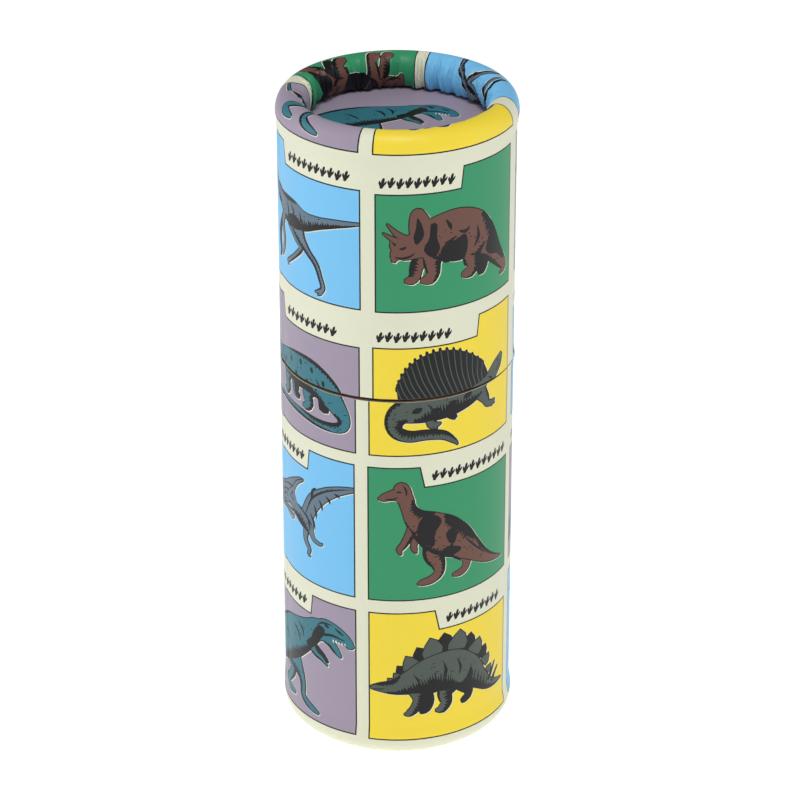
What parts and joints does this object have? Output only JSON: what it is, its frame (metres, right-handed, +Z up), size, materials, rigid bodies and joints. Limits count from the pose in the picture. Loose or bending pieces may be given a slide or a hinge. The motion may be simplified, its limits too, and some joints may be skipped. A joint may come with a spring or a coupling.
{
  "type": "kaleidoscope",
  "caption": "Toy kaleidoscope: a printed board tube with curled rims whose upper section, holding the bead chamber, turns on the mirror tube.",
  "frame": {"origin": "centre of the foot ring, on the surface that the toy stands on", "axes": "+Z up along the tube from the eyepiece end to the chamber end; -Y is the side that faces the viewer in the reference view"},
  "size_m": [0.0606, 0.0606, 0.175],
  "materials": {
    "printed_paper": "satin laminated print",
    "end_paper": "satin laminated print",
    "eyepiece_paper": "satin laminated print",
    "tube_board": "raw grey-brown board",
    "liner_board": "raw board",
    "white_card": "matt",
    "packing_board": "corrugated kraft",
    "band_paper": "gummed paper tape",
    "mirror_strip": "polished",
    "clear_film": "polished",
    "frosted_film": "frosted",
    "chamber_plastic": "satin",
    "bead_red": "glossy",
    "bead_blue": "glossy",
    "bead_green": "glossy",
    "bead_yellow": "glossy",
    "bead_pink": "glossy"
  },
  "bodies": {
    "viewer_section": {"lower_tube": "tube_board", "lower_wrap": "printed_paper", "lower_liner": "liner_board", "core_tube": "liner_board", "stop_collar": "white_card", "eyepiece_print": "eyepiece_paper", "eyepiece_card": "white_card", "eyepiece_film": "clear_film", "prism_card_lower": "white_card", "prism_card_upper": "white_card", "mirror_1": "mirror_strip", "mirror_2": "mirror_strip", "mirror_3": "mirror_strip", "prism_band_lower": "band_paper", "prism_band_upper": "band_paper", "packing_card_1": "packing_board", "packing_card_2": "packing_board", "packing_card_3": "packing_board"},
    "chamber_section": {"upper_tube": "tube_board", "upper_wrap": "printed_paper", "upper_liner": "liner_board", "chamber_seat": "white_card", "chamber_window": "clear_film", "chamber_ring": "chamber_plastic", "frosted_disc": "frosted_film", "end_print": "end_paper", "round_beads": "bead_red", "tube_beads": "bead_blue", "gem_chips": "bead_green", "star_sequins": "bead_yellow", "ring_sequins": "bead_pink"}
  },
  "joints": [
    {"name": "section_turn", "type": "hinge", "parent": "viewer_section", "child": "chamber_section", "pos_m": [0, 0, 0.1038], "axis": [0, 0, 1], "continuous": true}
  ]
}
